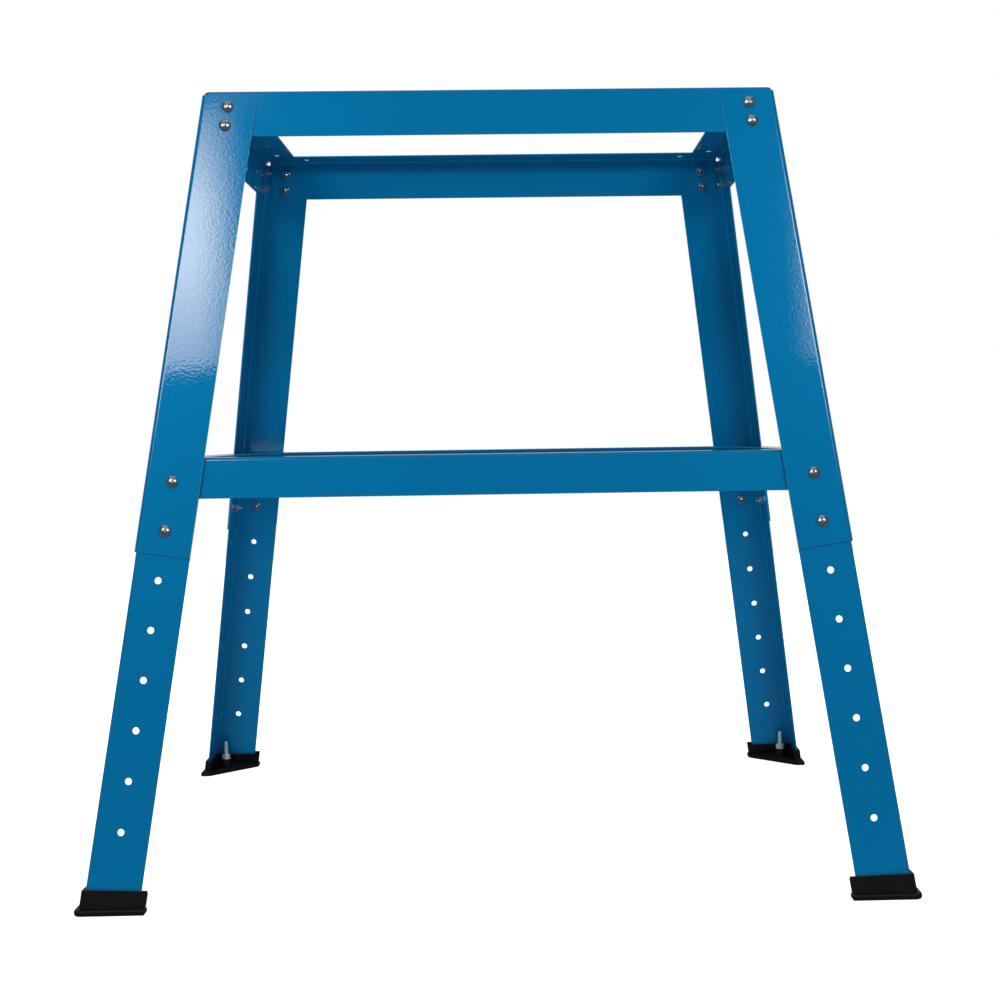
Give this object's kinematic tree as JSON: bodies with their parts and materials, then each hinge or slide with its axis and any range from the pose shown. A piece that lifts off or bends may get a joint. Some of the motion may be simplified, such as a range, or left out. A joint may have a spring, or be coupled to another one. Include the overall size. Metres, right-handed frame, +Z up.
{
  "type": "bench grinder stand",
  "caption": "Height-adjustable stand for a bench grinder: a bolted rail frame on splayed telescopic angle legs with rubber shoes.",
  "frame": {"origin": "on the floor, in the middle of the four feet at rest, which is the legs' full height", "axes": "+X to the right along the frame's long rails, +Y to the rear, +Z up; the front faces -Y"},
  "size_m": [0.8336, 0.7006, 0.82],
  "materials": {
    "blue_powder_coat": "glossy blue powder coat on folded steel sheet",
    "black_rubber": "moulded black rubber",
    "zinc_plate": "bright zinc plating"
  },
  "bodies": {
    "frame": {"top_rail_front": "blue_powder_coat", "lower_rail_front": "blue_powder_coat", "top_rail_right": "blue_powder_coat", "lower_rail_right": "blue_powder_coat", "top_rail_rear": "blue_powder_coat", "lower_rail_rear": "blue_powder_coat", "top_rail_left": "blue_powder_coat", "lower_rail_left": "blue_powder_coat", "upper_leg_front_left": "blue_powder_coat", "top_screws_front_left": "zinc_plate", "top_nuts_front_left": "zinc_plate", "rail_screws_front_left": "zinc_plate", "rail_nuts_front_left": "zinc_plate", "lock_screws_front_left": "zinc_plate", "lock_nuts_front_left": "zinc_plate", "upper_leg_front_right": "blue_powder_coat", "top_screws_front_right": "zinc_plate", "top_nuts_front_right": "zinc_plate", "rail_screws_front_right": "zinc_plate", "rail_nuts_front_right": "zinc_plate", "lock_screws_front_right": "zinc_plate", "lock_nuts_front_right": "zinc_plate", "upper_leg_rear_right": "blue_powder_coat", "top_screws_rear_right": "zinc_plate", "top_nuts_rear_right": "zinc_plate", "rail_screws_rear_right": "zinc_plate", "rail_nuts_rear_right": "zinc_plate", "lock_screws_rear_right": "zinc_plate", "lock_nuts_rear_right": "zinc_plate", "upper_leg_rear_left": "blue_powder_coat", "top_screws_rear_left": "zinc_plate", "top_nuts_rear_left": "zinc_plate", "rail_screws_rear_left": "zinc_plate", "rail_nuts_rear_left": "zinc_plate", "lock_screws_rear_left": "zinc_plate", "lock_nuts_rear_left": "zinc_plate"},
    "lower_leg_front_left_assembly": {"lower_leg_front_left": "blue_powder_coat", "foot_shoe_front_left": "black_rubber", "foot_screw_front_left": "zinc_plate", "foot_washer_front_left": "zinc_plate", "foot_nut_front_left": "zinc_plate"},
    "lower_leg_front_right_assembly": {"lower_leg_front_right": "blue_powder_coat", "foot_shoe_front_right": "black_rubber", "foot_screw_front_right": "zinc_plate", "foot_washer_front_right": "zinc_plate", "foot_nut_front_right": "zinc_plate"},
    "lower_leg_rear_right_assembly": {"lower_leg_rear_right": "blue_powder_coat", "foot_shoe_rear_right": "black_rubber", "foot_screw_rear_right": "zinc_plate", "foot_washer_rear_right": "zinc_plate", "foot_nut_rear_right": "zinc_plate"},
    "lower_leg_rear_left_assembly": {"lower_leg_rear_left": "blue_powder_coat", "foot_shoe_rear_left": "black_rubber", "foot_screw_rear_left": "zinc_plate", "foot_washer_rear_left": "zinc_plate", "foot_nut_rear_left": "zinc_plate"}
  },
  "joints": [
    {"name": "leg_height_front_left", "type": "slide", "parent": "frame", "child": "lower_leg_front_left_assembly", "axis": [0.1388, 0.1609, 0.9772], "range_m": [0, 0.3]},
    {"name": "leg_height_front_right", "type": "slide", "parent": "frame", "child": "lower_leg_front_right_assembly", "axis": [-0.1388, 0.1609, 0.9772], "range_m": [0, 0.3]},
    {"name": "leg_height_rear_right", "type": "slide", "parent": "frame", "child": "lower_leg_rear_right_assembly", "axis": [-0.1388, -0.1609, 0.9772], "range_m": [0, 0.3]},
    {"name": "leg_height_rear_left", "type": "slide", "parent": "frame", "child": "lower_leg_rear_left_assembly", "axis": [0.1388, -0.1609, 0.9772], "range_m": [0, 0.3]}
  ]
}
